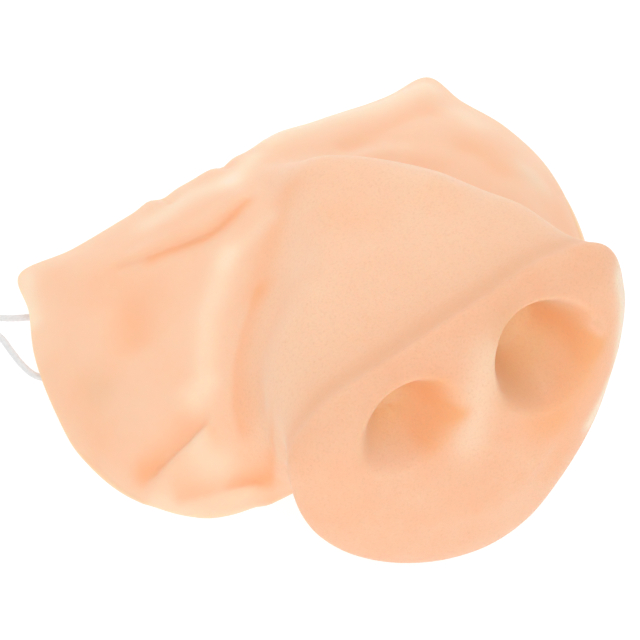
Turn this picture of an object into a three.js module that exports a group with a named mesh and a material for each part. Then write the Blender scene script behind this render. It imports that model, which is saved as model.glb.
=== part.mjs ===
// Costume pig nose: one hollow skin of latex with a snout disc, a barrel and two cheek wings, lying on its
// open rim, and the thin elastic that holds it on a face. Millimetres, +Z up, the table is z = 0.
// The disc looks along -Y and the wings spread along X.
import * as THREE from 'three';

// Latex skin, and how finely it is faceted: spokes round the disc, and steps along each stretch of a meridian
const SKIN = 1.6;
const SPOKES = 60;
const STEPS_PER_STRETCH = [8, 8, 3, 2, 2, 2, 3, 3, 3, 3, 3];

// Snout disc: a thick pad that leans back, flat along its top and round below. Its radii stand every
// 15 degrees, from +X over the top, one quarter to a line.
const DISC_RADII = [
  39.4, 42.9, 44.6, 36.8, 28.8, 24.7,
  23.1, 22.9, 24.6, 28.3, 35, 40.4,
  40.4, 39.9, 38.6, 37.4, 36.9, 37,
  37.3, 36.7, 35.2, 34.7, 35.1, 36.4,
];
const DISC_LEAN = THREE.MathUtils.degToRad(20.8);
const DISC_ROLL = THREE.MathUtils.degToRad(5);
const DISC_MIDDLE = new THREE.Vector3(0, -40.45, 34.9);
const PAD_DEPTH = 9;
const PAD_CROWN = 0.8;
const PAD_HALFWAY_CROWN = 0.5;
const PAD_EDGE_DROP = 1.2;
const PAD_SHOULDER = { inset: 0.3, drop: 4.8 };
const RIM_BACK = { inset: 0.35, share: 0.44 };
const RIM_LEAD = 0.41;
const DEEPEST_VALLEY = -9;
const SHOULDER_LEAD = 0.4;

// Nostrils: blind dents in the pad. Their walls take a share of the half size, steep above and gentle below,
// where they run out into the disc.
const NOSTRILS = [
  { across: -16, rise: 9, halfWidth: 12.7, halfHeight: 9.5 },
  { across: 17.4, rise: 9.2, halfWidth: 13.5, halfHeight: 13 },
];
const NOSTRIL_DEPTH = 13;
const STEEP_WALL = 0.36;
const GENTLE_WALL = 0.95;
const GENTLE_TOWARD = THREE.MathUtils.degToRad(-65);
const NOSTRIL_FADE = 1.2;

// Barrel: its crown swells at two places between valley and crease, and sags a little to +X
const SWELLS = [
  { column: 'x', share: 0.35, sag: 1.2 },
  { column: 'y', share: 0.7, sag: 2 },
];
const BARREL_HEART_Z = 10;
const SIDEWAYS_BIAS = 0.6;

// Meridians once round the nose, from the chin over the +X wing, the bridge and the -X wing. Each runs from
// the middle of the disc over the rim (at its angle on the disc), down behind the rim's overhang into the
// valley, along the barrel to the crease and over the wing to the free edge. curl is how far inside the rim
// the pad's edge starts to bend back, valley is how far the valley lies in front of the disc's middle, and
// the three swells are the heights of the barrel's front, the barrel's rear and the wing.
const MERIDIANS = [
  row(-90, [7, 13, -9], [0, 0, 0.3], [0, -27.2, 11], [0, -23.7, 8]),
  row(-72, [7, 13, -9], [0, 0, 0.5], [16, -26.2, 9.5], [18, -23.7, 5]),
  row(-55, [7, 13, -9], [0, 0, 1], [29, -23.7, 8], [35.5, -21.7, 0.6]),
  row(-40, [7, 12, -9], [0.5, 0.5, 2], [34, -20.2, 11], [49, -17.7, 0]),
  row(-25, [7, 11, -9], [1, 0.5, 3.5], [35.5, -14.7, 16.5], [60, -5.2, 0]),
  row(-12, [6.5, 10, -9], [1.5, 1, 5], [34, -8.7, 20.5], [64, 8.8, 0.3]),
  row(0, [6, 9, -9], [2, 1.5, 5.5], [31, -2.2, 23.5], [63.6, 22.3, 3]),
  row(10, [5, 8, -8.2], [3.2, 2.5, 5.5], [28, 4.8, 24], [61, 35.3, 4.4]),
  row(20, [4, 7, -7], [4.6, 3.5, 5], [24.5, 12.3, 23.5], [56.4, 46.4, 4.6]),
  row(28, [3.4, 6.5, -6.2], [5.8, 5, 4], [21.5, 19.3, 23], [53.3, 56.2, 4.8]),
  row(36, [3.2, 6, -5.6], [6.6, 6.5, 3], [18.5, 26.3, 22.5], [41, 54.3, 7.5]),
  row(48, [3, 6, -5.2], [7.2, 8, 2], [14, 33.5, 22.5], [27, 52.8, 12]),
  row(65, [3, 6, -5], [7.4, 9, 1], [8, 39.5, 23], [13, 51.3, 16]),
  row(90, [3, 6, -5], [7, 9.5, 0.5], [0, 42.5, 23.5], [0, 49.8, 17.5]),
  row(115, [3, 6, -5], [7.4, 6.5, 1], [-4, 33.5, 28.5], [-13, 51.3, 16]),
  row(132, [3, 6, -5.2], [7.2, 3.8, 2], [-7, 25, 32], [-27, 52.8, 12]),
  row(144, [3.2, 6, -5.6], [6.6, 2.8, 2.5], [-12, 18.4, 31.3], [-41, 54.3, 7.5]),
  row(152, [3.4, 6.5, -6.2], [5.8, 2.4, 2.5], [-17, 12.6, 30], [-53.3, 56.2, 4.8]),
  row(160, [4, 7, -7], [4.6, 2.2, 3.5], [-21.8, 8, 28.6], [-56.4, 46.4, 4.6]),
  row(170, [5, 8, -8.2], [3.2, 2.2, 4.5], [-26.8, 3.4, 26.6], [-61, 35.3, 4.4]),
  row(180, [6, 9, -9], [2, 1.5, 5.3], [-31.5, -1.8, 24.3], [-63.6, 22.3, 3]),
  row(192, [6.5, 10, -9], [1.5, 1, 5], [-35.2, -8, 20.5], [-64, 8.8, 0.3]),
  row(205, [7, 11, -9], [1, 0.5, 3.5], [-36.4, -14.2, 16.5], [-60, -5.2, 0]),
  row(220, [7, 12, -9], [0.5, 0.5, 2], [-34, -20.2, 11], [-49, -17.7, 0]),
  row(235, [7, 13, -9], [0, 0, 1], [-29, -23.7, 8], [-35.5, -21.7, 0.6]),
  row(252, [7, 13, -9], [0, 0, 0.5], [-16, -26.2, 9.5], [-18, -23.7, 5]),
];
const CREASE_FILLET = 0.3;

function row(angle, [overhang, curl, valley], swell, crease, edge) {
  return { angle, overhang, curl, valley, swell, crease, edge };
}

// Folds, dents and rolls that the soft wings have taken, each along its path as seen from above
const FOLDS = [
  { name: 'near brow fold', path: [[-33, 35], [-20, 30.6], [-10.5, 29.5]], width: 2.6, lift: -2.2 },
  { name: 'near brow lip', path: [[-35, 38.2], [-22, 35], [-9.5, 32.6]], width: 2.8, lift: 1.5 },
  { name: 'near cheek hollow', path: [[-38, 31], [-42, 20]], width: 9, lift: -1 },
  { name: 'near cheek dent', path: [[-40.7, 28.6], [-44.7, 17.6]], width: 4.8, lift: -1.6 },
  { name: 'near tip dent', path: [[-56.8, 22], [-54.5, 15.4]], width: 4, lift: -0.9 },
  { name: 'near low fold', path: [[-56, -2.2], [-47.4, -3.6], [-42.1, -3.8]], width: 2.6, lift: -2.2 },
  { name: 'near low ridge', path: [[-53.5, -7], [-48.5, -7.6], [-43, -7.2]], width: 2.4, lift: 1.6 },
  { name: 'near hem fold', path: [[-53.1, -10.4], [-41.7, -15.9], [-35.5, -18.6]], width: 2, lift: -1.4 },
  { name: 'near hem roll', path: [[-56.9, -9], [-50.8, -15], [-39, -21]], width: 2.2, lift: 1.2 },
  { name: 'near cheek ridge', path: [[-19, 23.6], [-31, 11.1], [-38.8, -0.5]], width: 3.6, lift: 1.6 },
  { name: 'far brow groove', path: [[21, 37.5], [33, 40.6], [43, 39.5]], width: 3, lift: -1.8 },
  { name: 'far brow roll', path: [[7, 48.5], [24, 50.6], [49.3, 51]], width: 3, lift: 1.2 },
  { name: 'far brow ridge', path: [[20.9, 34.8], [27.8, 33.3], [36.6, 25]], width: 3, lift: 1.4 },
  { name: 'far cheek dent', path: [[45, 26], [47.5, 17.3]], width: 5, lift: -1.6 },
  { name: 'far tip bulge', path: [[51.5, 39.6], [52.6, 35.2]], width: 4, lift: 0.8 },
  { name: 'far low bulge', path: [[55.2, 16.3], [56, 13.5]], width: 3.5, lift: 0.8 },
  { name: 'far bridge bump', path: [[3, 50.5], [9, 51.5]], width: 7, lift: 1.8 },
];
const FOLD_FADE = 0.6;

// Bulges of the barrel, given in the same way
const BULGES = [
  { name: 'far barrel bulge', path: [[7, 25], [14, 15], [20, 5]], width: 7.5, lift: 3.6 },
];
const BULGE_FADE_IN = 0.6;
const BULGE_FADE_OUT = 0.5;

// Elastic and the patches that hold its ends inside the wings
const CORD_DIAMETER = 1.5;
const CORD_SIDES = 8;
const CORD_STEPS = 78;
const TAB = { length: 9, width: 6.5, thickness: 2, corner: 2, cornerSteps: 4, around: 6, place: 10.5 };
const TAB_GAPS = { left: 0.6, right: 1.2 };
const TAB_TURN = THREE.MathUtils.degToRad(35);

// The elastic's way: from the patch in the -X wing down to the table and out under the free edge, round in a
// loose loop, back in under the same wing and across beneath the bridge to the patch in the +X wing
const CORD_ROUTE = [
  [-54.53, 20.72, 7.03], [-55.5, 23.8, 6], [-56.9, 27, 4.4], [-58.9, 29.5, 2.6], [-61, 31.3, 1.2],
  [-62.5, 33.6, 0.8], [-63.4, 37.2, 0.8], [-63.7, 41.2, 0.8], [-64, 46.1, 0.8], [-66, 50.6, 0.8],
  [-70.2, 54, 0.8], [-76.5, 55.4, 0.8], [-84.5, 54.6, 0.8], [-93, 53.6, 0.8], [-100.5, 55.8, 0.8],
  [-104.6, 62, 0.8], [-104, 69.6, 0.8], [-98.6, 75.4, 0.8], [-90.6, 76.6, 0.8], [-83, 73.6, 0.8],
  [-76.4, 67.6, 0.8], [-70.6, 60.6, 0.8], [-66, 54.6, 0.8], [-61.6, 50.6, 0.8], [-56.4, 47.6, 0.8],
  [-49, 44.8, 0.8], [-38, 42.2, 0.8], [-25, 40.8, 0.8], [-10, 40.2, 0.8], [6, 40, 0.8],
  [21, 39.9, 0.8], [34, 39.2, 0.8], [44.5, 37.6, 0.8], [51.6, 34.6, 1.05], [55.2, 30.8, 2.7],
  [55.7, 27.2, 5.1], [54.8, 23.8, 7.05], [53.86, 20.54, 8.12],
];

const LATEX_COLOUR = 0xfbcbab;
const ELASTIC_COLOUR = 0xe8e8e8;

const FORWARD = new THREE.Vector3(0, -Math.cos(DISC_LEAN), Math.sin(DISC_LEAN));
const RISE = new THREE.Vector3(0, Math.sin(DISC_LEAN), Math.cos(DISC_LEAN));
const SHOULDER_POINT = 3;
const VALLEY_POINT = 6;
const CREASE_POINT = 9;
const STRETCHES = STEPS_PER_STRETCH.length;

const evenAngle = (turn) => 360 * turn - 90;
const closedCurve = (points) => new THREE.CatmullRomCurve3(points, true, 'catmullrom', 0.5);
const radiusCurve = closedCurve(DISC_RADII.map((radius) => new THREE.Vector3(radius, 0, 0)));
const creaseCurve = closedCurve(MERIDIANS.map(({ crease }) => new THREE.Vector3(...crease)));
const edgeCurve = closedCurve(MERIDIANS.map(({ edge }) => new THREE.Vector3(...edge)));
const valleyCurve = closedCurve(MERIDIANS.map(({ valley }) => new THREE.Vector3(valley, 0, 0)));
const swellCurve = closedCurve(MERIDIANS.map(({ swell }) => new THREE.Vector3(...swell)));
const rimCurve = closedCurve(MERIDIANS.map(({ angle, overhang, curl }, index) => (
  new THREE.Vector3(angle - evenAngle(index / MERIDIANS.length), overhang, curl)
)));

function discPoint(angle, radius, forward) {
  return new THREE.Vector3(radius * Math.cos(angle), 0, 0)
    .add(DISC_MIDDLE)
    .addScaledVector(RISE, radius * Math.sin(angle))
    .addScaledVector(FORWARD, forward);
}

function meridianCurve(turn) {
  const rim = rimCurve.getPoint(turn);
  const swell = swellCurve.getPoint(turn);
  const crease = creaseCurve.getPoint(turn);
  const edge = edgeCurve.getPoint(turn);
  const angle = THREE.MathUtils.degToRad(evenAngle(turn) + rim.x) + DISC_ROLL;
  const overhang = rim.y;
  const curl = rim.z;
  const radius = radiusCurve.getPoint(THREE.MathUtils.euclideanModulo(angle / (2 * Math.PI), 1)).x;
  const valleyAt = valleyCurve.getPoint(turn).x;
  const rimAt = RIM_LEAD * (valleyAt - DEEPEST_VALLEY);
  const shoulderAt = PAD_DEPTH - PAD_SHOULDER.drop + SHOULDER_LEAD * rimAt;
  const rimBackAt = THREE.MathUtils.lerp(rimAt, valleyAt, RIM_BACK.share);
  const valley = discPoint(angle, radius - overhang, valleyAt);
  const points = [
    discPoint(angle, 0, PAD_DEPTH + PAD_CROWN),
    discPoint(angle, radius / 2, PAD_DEPTH + PAD_HALFWAY_CROWN),
    discPoint(angle, radius - curl, PAD_DEPTH - PAD_EDGE_DROP),
    discPoint(angle, radius - PAD_SHOULDER.inset * curl, shoulderAt),
    discPoint(angle, radius, rimAt),
    discPoint(angle, radius - RIM_BACK.inset * overhang, rimBackAt),
    valley,
  ];
  for (const { column, share, sag } of SWELLS) {
    const middle = valley.clone().lerp(crease, share);
    const outward = new THREE.Vector3(SIDEWAYS_BIAS * middle.x, 0, middle.z - BARREL_HEART_Z).normalize();
    const bulged = middle.clone().addScaledVector(outward, swell[column]);
    bulged.x += sag * Math.max(outward.z, 0);
    points.push(bulged);
  }
  const wing = crease.clone().add(edge).divideScalar(2);
  wing.z += swell.z;
  const besideCrease = points[points.length - 1].clone().add(wing).divideScalar(2);
  points.push(crease.lerp(besideCrease, CREASE_FILLET), wing, edge);
  return new THREE.CatmullRomCurve3(points, false, 'centripetal');
}

function nostrilDepth(point) {
  const onDisc = point.clone().sub(DISC_MIDDLE);
  let depth = 0;
  for (const { across, rise, halfWidth, halfHeight } of NOSTRILS) {
    const sideways = (onDisc.x - across) / halfWidth;
    const upward = (onDisc.dot(RISE) - rise) / halfHeight;
    const gentle = (1 + Math.cos(Math.atan2(upward, sideways) - GENTLE_TOWARD)) / 2;
    const wall = THREE.MathUtils.lerp(STEEP_WALL, GENTLE_WALL, gentle);
    depth += NOSTRIL_DEPTH * THREE.MathUtils.smoothstep(1 - Math.hypot(sideways, upward), 0, wall);
  }
  return depth;
}

function distanceToPath(here, path) {
  let nearest = Infinity;
  for (let corner = 1; corner < path.length; corner += 1) {
    const start = new THREE.Vector2(...path[corner - 1]);
    const run = new THREE.Vector2(...path[corner]).sub(start);
    const share = THREE.MathUtils.clamp(here.clone().sub(start).dot(run) / run.lengthSq(), 0, 1);
    nearest = Math.min(nearest, here.distanceTo(start.addScaledVector(run, share)));
  }
  return nearest;
}

function liftAt(point, marks) {
  const here = new THREE.Vector2(point.x, point.y);
  let lift = 0;
  for (const mark of marks) {
    lift += mark.lift * Math.exp(-((distanceToPath(here, mark.path) / mark.width) ** 2));
  }
  return lift;
}

// Point of the outer skin on a meridian's curve: place counts the stretches from the disc to the free edge
function skinPoint(curve, place) {
  const point = curve.getPoint(place / STRETCHES);
  if (place < SHOULDER_POINT) {
    const fade = THREE.MathUtils.smoothstep(SHOULDER_POINT - place, 0, NOSTRIL_FADE);
    point.addScaledVector(FORWARD, -fade * nostrilDepth(point));
  } else if (place > CREASE_POINT) {
    const fade = THREE.MathUtils.smoothstep(place - CREASE_POINT, 0, FOLD_FADE);
    point.z += fade * liftAt(point, FOLDS);
  } else if (place > VALLEY_POINT) {
    const fade = THREE.MathUtils.smoothstep(place - VALLEY_POINT, 0, BULGE_FADE_IN)
      * THREE.MathUtils.smoothstep(CREASE_POINT - place, 0, BULGE_FADE_OUT);
    point.z += fade * liftAt(point, BULGES);
  }
  point.z = Math.max(point.z, 0);
  return point;
}

// Grid of outer points and outward normals. Row 0 is the single middle of the disc, and where the skin lies
// flat its outer side keeps one thickness above the table.
function skinGrid() {
  const places = [0];
  STEPS_PER_STRETCH.forEach((steps, stretch) => {
    for (let step = 1; step <= steps; step += 1) {
      places.push(stretch + step / steps);
    }
  });
  const curves = Array.from({ length: SPOKES }, (unused, spoke) => meridianCurve(spoke / SPOKES));
  const points = places.map((place) => curves.map((curve) => skinPoint(curve, place)));
  const normals = points.map((row, ring) => row.map((unused, spoke) => {
    if (ring === 0) {
      return FORWARD.clone();
    }
    const last = Math.min(ring + 1, points.length - 1);
    const outward = points[last][spoke].clone().sub(points[ring - 1][spoke]);
    const onward = row[(spoke + 1) % SPOKES].clone().sub(row[(spoke + SPOKES - 1) % SPOKES]);
    return outward.cross(onward).normalize();
  }));
  points.forEach((row, ring) => row.forEach((point, spoke) => {
    point.z = Math.max(point.z, SKIN * normals[ring][spoke].z);
  }));
  return { points, normals };
}

function shellGeometry() {
  const { points, normals } = skinGrid();
  const rings = points.length;
  const positions = [];
  const faces = [];
  const addSkin = (depth) => {
    const first = positions.length / 3;
    points.forEach((row, ring) => {
      const members = ring === 0 ? [row[0]] : row;
      members.forEach((point, spoke) => {
        const moved = point.clone().addScaledVector(normals[ring][spoke], -depth);
        positions.push(...moved);
      });
    });
    return (ring, spoke) => (ring === 0 ? first : first + 1 + (ring - 1) * SPOKES + (spoke % SPOKES));
  };
  const outer = addSkin(0);
  const inner = addSkin(SKIN);
  const addQuad = (a, b, c, d) => faces.push(a, b, c, a, c, d);
  for (let spoke = 0; spoke < SPOKES; spoke += 1) {
    faces.push(outer(0, 0), outer(1, spoke), outer(1, spoke + 1));
    faces.push(inner(0, 0), inner(1, spoke + 1), inner(1, spoke));
    for (let ring = 1; ring < rings - 1; ring += 1) {
      addQuad(outer(ring, spoke), outer(ring + 1, spoke), outer(ring + 1, spoke + 1), outer(ring, spoke + 1));
      addQuad(inner(ring, spoke), inner(ring, spoke + 1), inner(ring + 1, spoke + 1), inner(ring + 1, spoke));
    }
    const edge = rings - 1;
    addQuad(outer(edge, spoke), inner(edge, spoke), inner(edge, spoke + 1), outer(edge, spoke + 1));
  }
  const geometry = new THREE.BufferGeometry();
  geometry.setAttribute('position', new THREE.Float32BufferAttribute(positions, 3));
  geometry.setIndex(faces);
  geometry.computeVertexNormals();
  return geometry;
}

// Rounded patch just inside the wing. Its square end, where the elastic leaves it, faces the wing's tip and
// is turned a little toward the free edge.
function tabGeometry(side, gap) {
  const turnStep = 0.002;
  const placeStep = 0.05;
  const turn = (side > 0 ? TAB.around : MERIDIANS.length - TAB.around) / MERIDIANS.length;
  const middle = skinPoint(meridianCurve(turn), TAB.place);
  const tipward = skinPoint(meridianCurve(turn + side * turnStep), TAB.place).sub(middle).normalize();
  const edgeward = skinPoint(meridianCurve(turn), TAB.place + placeStep).sub(middle).normalize();
  const inward = tipward.clone().cross(edgeward).multiplyScalar(side).normalize();
  const leaving = tipward.clone().applyAxisAngle(inward, side * TAB_TURN);
  const across = inward.clone().cross(leaving).normalize();
  const halfLength = TAB.length / 2;
  const halfWidth = TAB.width / 2;
  const outline = new THREE.Shape();
  outline.moveTo(halfLength, -halfWidth);
  outline.lineTo(halfLength, halfWidth);
  outline.lineTo(TAB.corner - halfLength, halfWidth);
  outline.quadraticCurveTo(-halfLength, halfWidth, -halfLength, halfWidth - TAB.corner);
  outline.lineTo(-halfLength, TAB.corner - halfWidth);
  outline.quadraticCurveTo(-halfLength, -halfWidth, TAB.corner - halfLength, -halfWidth);
  outline.closePath();
  const geometry = new THREE.ExtrudeGeometry(outline, {
    depth: TAB.thickness, bevelEnabled: false, curveSegments: TAB.cornerSteps,
  });
  const placing = new THREE.Matrix4().makeBasis(leaving, across, inward);
  placing.setPosition(middle.addScaledVector(inward, SKIN + gap));
  geometry.applyMatrix4(placing);
  return geometry;
}

function cordGeometry() {
  const corners = Array.from({ length: CORD_SIDES }, (unused, corner) => {
    const angle = 2 * Math.PI * (corner + 0.5) / CORD_SIDES;
    return new THREE.Vector2(Math.cos(angle), Math.sin(angle)).multiplyScalar(CORD_DIAMETER / 2);
  });
  const route = new THREE.CatmullRomCurve3(CORD_ROUTE.map((point) => new THREE.Vector3(...point)));
  return new THREE.ExtrudeGeometry(new THREE.Shape(corners), { steps: CORD_STEPS, extrudePath: route });
}

function addPiece(group, name, geometry, color) {
  const piece = new THREE.Mesh(geometry, new THREE.MeshStandardMaterial({ color, roughness: 0.6 }));
  piece.name = name;
  group.add(piece);
}

const nose = new THREE.Group();
addPiece(nose, 'snout_shell', shellGeometry(), LATEX_COLOUR);
addPiece(nose, 'elastic_tab_left', tabGeometry(-1, TAB_GAPS.left), LATEX_COLOUR);
addPiece(nose, 'elastic_tab_right', tabGeometry(1, TAB_GAPS.right), LATEX_COLOUR);
addPiece(nose, 'elastic_cord', cordGeometry(), ELASTIC_COLOUR);

export default nose;
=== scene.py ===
import math

import bmesh
import bpy
import numpy as np
from mathutils import Matrix, Vector


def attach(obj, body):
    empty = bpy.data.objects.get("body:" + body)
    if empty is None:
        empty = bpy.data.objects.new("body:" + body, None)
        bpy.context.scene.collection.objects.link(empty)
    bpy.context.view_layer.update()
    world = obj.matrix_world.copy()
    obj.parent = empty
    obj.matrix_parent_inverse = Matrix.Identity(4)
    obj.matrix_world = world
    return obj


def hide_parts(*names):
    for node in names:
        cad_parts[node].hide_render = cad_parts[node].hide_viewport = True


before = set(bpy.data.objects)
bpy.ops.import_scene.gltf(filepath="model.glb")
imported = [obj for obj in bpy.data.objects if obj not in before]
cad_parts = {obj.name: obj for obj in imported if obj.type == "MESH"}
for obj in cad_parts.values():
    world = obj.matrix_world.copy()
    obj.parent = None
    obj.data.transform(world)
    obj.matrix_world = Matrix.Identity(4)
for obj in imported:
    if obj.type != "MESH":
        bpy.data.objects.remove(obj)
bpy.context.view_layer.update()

# Table top, camera and light of the studio. The nose lies on its open rim on a white lit table,
# and the camera looks down on the disc from the front, from the side of the near wing.
LENS_MM = 212.34
SENSOR_MM = 36.0
CAMERA_AZIMUTH = math.radians(-31.233)
CAMERA_ELEVATION = math.radians(55.5)
CAMERA_PLACE = Vector((-0.24621, -0.39020, 0.68771))
CAMERA_NEAREST = 0.05
CAMERA_FARTHEST = 20.0
TABLE_HALF = 2.5
TABLE_GAP = 0.0003
TABLE_TINT = (0.28, 0.28, 0.28, 1.0)
TABLE_GLOW = 0.82
WHITE_LIGHT = (1.0, 1.0, 1.0, 1.0)
ROOM_LIGHT = 0.76
SOFTBOXES = [
    {"name": "key_light", "place": (-0.5, -0.9, 1.1), "aim": (0.0, 0.0, 0.02), "side": 0.9, "watts": 5.2},
    {"name": "back_light", "place": (0.5, 1.1, 0.9), "aim": (0.0, 0.0, 0.02), "side": 0.8, "watts": 4.4},
]

camera_back = Vector((
    math.cos(CAMERA_ELEVATION) * math.sin(CAMERA_AZIMUTH),
    -math.cos(CAMERA_ELEVATION) * math.cos(CAMERA_AZIMUTH),
    math.sin(CAMERA_ELEVATION),
))
camera_right = Vector((math.cos(CAMERA_AZIMUTH), math.sin(CAMERA_AZIMUTH), 0.0))
camera_up = camera_back.cross(camera_right)
camera_data = bpy.data.cameras.new("camera")
camera_data.lens = LENS_MM
camera_data.sensor_width = SENSOR_MM
camera_data.clip_start = CAMERA_NEAREST
camera_data.clip_end = CAMERA_FARTHEST
camera = bpy.data.objects.new("camera", camera_data)
camera_turn = Matrix((camera_right, camera_up, camera_back)).transposed().to_4x4()
camera.matrix_world = Matrix.Translation(CAMERA_PLACE) @ camera_turn
bpy.context.scene.collection.objects.link(camera)
bpy.context.scene.camera = camera
bpy.context.scene.view_settings.view_transform = "Standard"

table_mesh = bpy.data.meshes.new("table_top")
table_mesh.from_pydata(
    [(x * TABLE_HALF, y * TABLE_HALF, -TABLE_GAP) for x, y in ((-1, -1), (1, -1), (1, 1), (-1, 1))],
    [], [(0, 1, 2, 3)],
)
table = bpy.data.objects.new("table_top", table_mesh)
bpy.context.scene.collection.objects.link(table)
table_finish = bpy.data.materials.new("lit_table")
table_finish.use_nodes = True
table_shader = table_finish.node_tree.nodes["Principled BSDF"]
table_shader.inputs["Base Color"].default_value = TABLE_TINT
table_shader.inputs["Roughness"].default_value = 0.9
table_shader.inputs["Specular IOR Level"].default_value = 0.1
table_shader.inputs["Emission Color"].default_value = WHITE_LIGHT
table_shader.inputs["Emission Strength"].default_value = TABLE_GLOW
table_mesh.materials.append(table_finish)

room = bpy.data.worlds.new("studio")
room.use_nodes = True
room_light = room.node_tree.nodes["Background"]
room_light.inputs["Color"].default_value = WHITE_LIGHT
room_light.inputs["Strength"].default_value = ROOM_LIGHT
bpy.context.scene.world = room

for softbox in SOFTBOXES:
    lamp_data = bpy.data.lights.new(softbox["name"], "AREA")
    lamp_data.shape = "SQUARE"
    lamp_data.size = softbox["side"]
    lamp_data.energy = softbox["watts"]
    lamp = bpy.data.objects.new(softbox["name"], lamp_data)
    facing = Vector(softbox["aim"]) - Vector(softbox["place"])
    lamp_turn = facing.to_track_quat("-Z", "Y").to_matrix().to_4x4()
    lamp.matrix_world = Matrix.Translation(softbox["place"]) @ lamp_turn
    bpy.context.scene.collection.objects.link(lamp)

# Elastic: a thin round cord, white thread braided over rubber. One end is glued under a patch in
# each wing, and the loose loop lies on the table where it slipped out under the near wing.
MM = 0.001
CORD_THICK = 1.5
CORD_SIDES = 20
CORD_STEP = 0.45
ROUTE_SAMPLES = 1500
# Turn of the braid in radians over one thickness of the cord, its threads each way, and their relief
BRAID_TURN = 2.6
BRAID_THREADS = 5
BRAID_RELIEF = 0.045
NEVER_ZERO = 1e-9
CORD_ROUTE = np.array([
    [-54.53, 20.72, 7.03], [-55.5, 23.8, 6], [-56.9, 27, 4.4], [-58.9, 29.5, 2.6], [-61, 31.3, 1.2],
    [-62.5, 33.6, 0.8], [-63.4, 37.2, 0.8], [-63.7, 41.2, 0.8], [-64, 46.1, 0.8], [-66, 50.6, 0.8],
    [-70.2, 54, 0.8], [-76.5, 55.4, 0.8], [-84.5, 54.6, 0.8], [-93, 53.6, 0.8], [-100.5, 55.8, 0.8],
    [-104.6, 62, 0.8], [-104, 69.6, 0.8], [-98.6, 75.4, 0.8], [-90.6, 76.6, 0.8], [-83, 73.6, 0.8],
    [-76.4, 67.6, 0.8], [-70.6, 60.6, 0.8], [-66, 54.6, 0.8], [-61.6, 50.6, 0.8], [-56.4, 47.6, 0.8],
    [-49, 44.8, 0.8], [-38, 42.2, 0.8], [-25, 40.8, 0.8], [-10, 40.2, 0.8], [6, 40, 0.8],
    [21, 39.9, 0.8], [34, 39.2, 0.8], [44.5, 37.6, 0.8], [51.6, 34.6, 1.05], [55.2, 30.8, 2.7],
    [55.7, 27.2, 5.1], [54.8, 23.8, 7.05], [53.86, 20.54, 8.12],
])


def curve_through(points, places):
    """Smooth curve through points (count, ..., 3) that keeps its bends away from close points.

    Each of places counts stretches: 2.5 lies halfway between the third point and the fourth.
    """
    ends = np.concatenate([[2 * points[0] - points[1]], points, [2 * points[-1] - points[-2]]])
    found = []
    for place in places:
        stretch = min(int(place), len(points) - 2)
        a, b, c, d = ends[stretch:stretch + 4]
        knots = [0.0]
        for start, stop in ((a, b), (b, c), (c, d)):
            apart = np.linalg.norm(stop - start, axis=-1, keepdims=True)
            knots.append(knots[-1] + np.sqrt(apart) + NEVER_ZERO)
        t0, t1, t2, t3 = knots
        t = t1 + (t2 - t1) * (place - stretch)
        ab = a + (b - a) * (t - t0) / (t1 - t0)
        bc = b + (c - b) * (t - t1) / (t2 - t1)
        cd = c + (d - c) * (t - t2) / (t3 - t2)
        abc = ab + (bc - ab) * (t - t0) / (t2 - t0)
        bcd = bc + (cd - bc) * (t - t1) / (t3 - t1)
        found.append(abc + (bcd - abc) * (t - t1) / (t2 - t1))
    return np.array(found)


def mesh_piece(name, points, faces):
    """New smooth mesh object from points in millimetres."""
    mesh = bpy.data.meshes.new(name)
    mesh.from_pydata((np.asarray(points) * MM).tolist(), [], faces)
    mesh.shade_smooth()
    piece = bpy.data.objects.new(name, mesh)
    bpy.context.scene.collection.objects.link(piece)
    return piece


fine_route = curve_through(CORD_ROUTE, np.linspace(0, len(CORD_ROUTE) - 1, ROUTE_SAMPLES))
run = np.concatenate([[0], np.cumsum(np.linalg.norm(np.diff(fine_route, axis=0), axis=1))])
cord_length = run[-1]
marks = np.linspace(0, cord_length, int(cord_length / CORD_STEP))
cord_path = np.stack([np.interp(marks, run, fine_route[:, axis]) for axis in range(3)], axis=1)
ahead = np.gradient(cord_path, axis=0)
ahead /= np.linalg.norm(ahead, axis=1, keepdims=True)
level = np.cross(ahead, [0.0, 0.0, 1.0])
level /= np.linalg.norm(level, axis=1, keepdims=True)
upright = np.cross(level, ahead)
about = np.linspace(0, 2 * np.pi, CORD_SIDES, endpoint=False)
twist = marks[:, None] * BRAID_TURN / CORD_THICK
lay_one = np.cos(BRAID_THREADS * (about[None, :] + twist))
lay_two = np.cos(BRAID_THREADS * (about[None, :] - twist))
cord_radius = CORD_THICK / 2 * (1 - BRAID_RELIEF + BRAID_RELIEF * np.maximum(lay_one, lay_two))
cord_points = (
    cord_path[:, None, :]
    + cord_radius[:, :, None] * np.cos(about)[None, :, None] * level[:, None, :]
    + cord_radius[:, :, None] * np.sin(about)[None, :, None] * upright[:, None, :]
).reshape(-1, 3)
cord_faces = []
for step in range(len(marks) - 1):
    for side in range(CORD_SIDES):
        here, there = step * CORD_SIDES + side, step * CORD_SIDES + (side + 1) % CORD_SIDES
        cord_faces.append((here, here + CORD_SIDES, there + CORD_SIDES, there))
cord_faces.append(tuple(range(CORD_SIDES)))
cord_faces.append(tuple(reversed(range(len(cord_points) - CORD_SIDES, len(cord_points)))))
cord = mesh_piece("elastic_braid", cord_points, cord_faces)

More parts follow.
